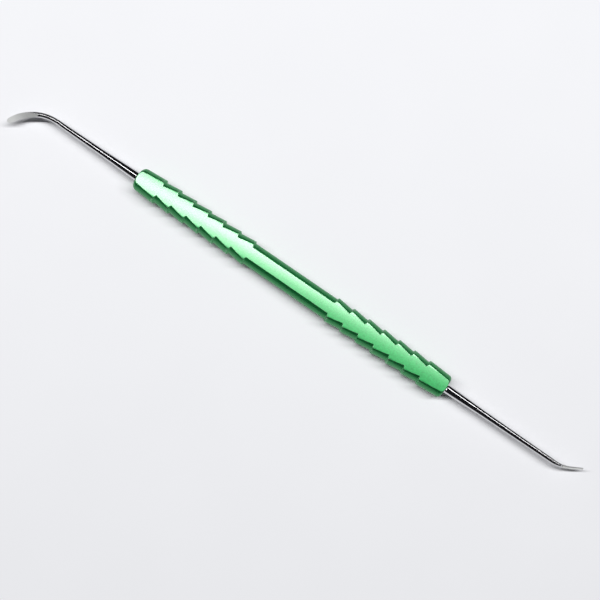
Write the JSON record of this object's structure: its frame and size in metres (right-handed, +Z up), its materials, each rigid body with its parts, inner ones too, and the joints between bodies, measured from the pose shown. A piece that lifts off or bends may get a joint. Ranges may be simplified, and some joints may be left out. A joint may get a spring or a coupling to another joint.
{
  "type": "double-ended hand scaler",
  "caption": "Double-ended dental scaler: ringed, flatted aluminium handle with slim polished steel shanks ending in a curved curette and a thin sickle blade.",
  "frame": {"origin": "middle of the handle's bottom flat, which rests on the table at z = 0", "axes": "+X along the handle towards the sickle end, +Y to the side that the sickle bends to, +Z up, out of the top flat"},
  "size_m": [0.1826, 0.0116, 0.0057],
  "materials": {
    "green_anodised": "satin green anodised, milled flats and turned rings",
    "polished_steel": "mirror-polished stainless shanks, satin-ground blades",
    "epoxy": "cured amber epoxy, hidden in the sockets"
  },
  "bodies": {
    "root": {"handle": "green_anodised", "curette_end": "polished_steel", "sickle_end": "polished_steel", "curette_bond": "epoxy", "sickle_bond": "epoxy"}
  },
  "joints": []
}
